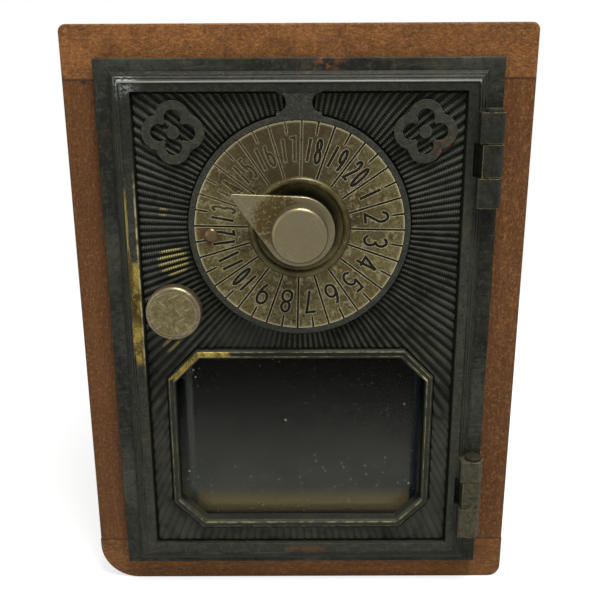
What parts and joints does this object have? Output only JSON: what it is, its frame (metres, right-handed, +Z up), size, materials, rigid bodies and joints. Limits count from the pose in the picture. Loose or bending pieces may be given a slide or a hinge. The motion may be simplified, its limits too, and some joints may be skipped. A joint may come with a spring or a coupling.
{
  "type": "post office box door bank",
  "caption": "Small wooden savings box with a cast post office box door: hinged door, turning dial and pointer, combination wheels, glazed window and turn latch.",
  "frame": {"origin": "middle of the wooden box's underside", "axes": "+Z up, +X to the right seen from the door, the door faces -Y"},
  "size_m": [0.1116, 0.1158, 0.1478],
  "materials": {
    "wood": "oiled mahogany, worn",
    "cast_brass": "blackened cast brass, worn bright on the edges",
    "dial_brass": "aged rolled brass",
    "nickel": "worn nickel plate",
    "lock_brass": "plain turned brass",
    "steel": "plain steel",
    "glass": "bevelled plate glass"
  },
  "bodies": {
    "box": {"top_board": "wood", "bottom_board": "wood", "left_board": "wood", "right_board": "wood", "back_board": "wood", "back_screws": "lock_brass", "door_frame": "cast_brass", "frame_screws": "steel", "hinge_pin_upper": "lock_brass", "hinge_pin_lower": "lock_brass"},
    "door": {"door_casting": "cast_brass", "window_glass": "glass", "glass_retainer": "lock_brass", "retainer_screws": "steel", "dial_plate": "dial_brass", "dial_cup": "dial_brass", "dial_cup_nut": "lock_brass", "dial_rivet": "lock_brass", "wheel_washers": "steel", "lock_pillars": "lock_brass", "lock_plate": "lock_brass", "lock_plate_screws": "steel", "fence_pivot": "steel", "latch_washer": "steel"},
    "dial": {"pointer": "nickel", "dial_knob": "nickel", "dial_spindle": "steel", "drive_cam": "lock_brass", "spindle_collar": "steel"},
    "wheel_front": {"wheel_front": "lock_brass"},
    "wheel_middle": {"wheel_middle": "lock_brass"},
    "wheel_rear": {"wheel_rear": "lock_brass"},
    "fence": {"fence_lever": "lock_brass", "fence_spring": "steel"},
    "latch": {"latch_knob": "nickel", "latch_spindle": "steel", "latch_tongue": "lock_brass", "latch_cam": "lock_brass", "latch_nut": "steel"}
  },
  "joints": [
    {"name": "door_hinge", "type": "hinge", "parent": "box", "child": "door", "pos_m": [0.0451, -0.05595, 0.0727], "axis": [0, 0, 1], "range_deg": [0, 110]},
    {"name": "dial_turn", "type": "hinge", "parent": "door", "child": "dial", "pos_m": [0, -0.0508, 0.1007], "axis": [0, -1, 0], "continuous": true},
    {"name": "wheel_front_turn", "type": "hinge", "parent": "door", "child": "wheel_front", "pos_m": [0, -0.0508, 0.1007], "axis": [0, -1, 0], "continuous": true},
    {"name": "wheel_middle_turn", "type": "hinge", "parent": "door", "child": "wheel_middle", "pos_m": [0, -0.0508, 0.1007], "axis": [0, -1, 0], "continuous": true},
    {"name": "wheel_rear_turn", "type": "hinge", "parent": "door", "child": "wheel_rear", "pos_m": [0, -0.0508, 0.1007], "axis": [0, -1, 0], "continuous": true},
    {"name": "fence_lift", "type": "hinge", "parent": "door", "child": "fence", "pos_m": [-0.02062, -0.0508, 0.10291], "axis": [0, 1, 0], "range_deg": [0, 7], "stiffness_Nm_per_rad": 0.003, "springref_deg": -17.19},
    {"name": "latch_turn", "type": "hinge", "parent": "door", "child": "latch", "pos_m": [-0.0305, -0.0508, 0.0811], "axis": [0, -1, 0], "range_deg": [0, 90]}
  ],
  "couplings": [
    {"joint": "wheel_front_turn", "follows": "dial_turn", "ratio": 1},
    {"joint": "wheel_middle_turn", "follows": "dial_turn", "ratio": 1},
    {"joint": "wheel_rear_turn", "follows": "dial_turn", "ratio": 1}
  ]
}
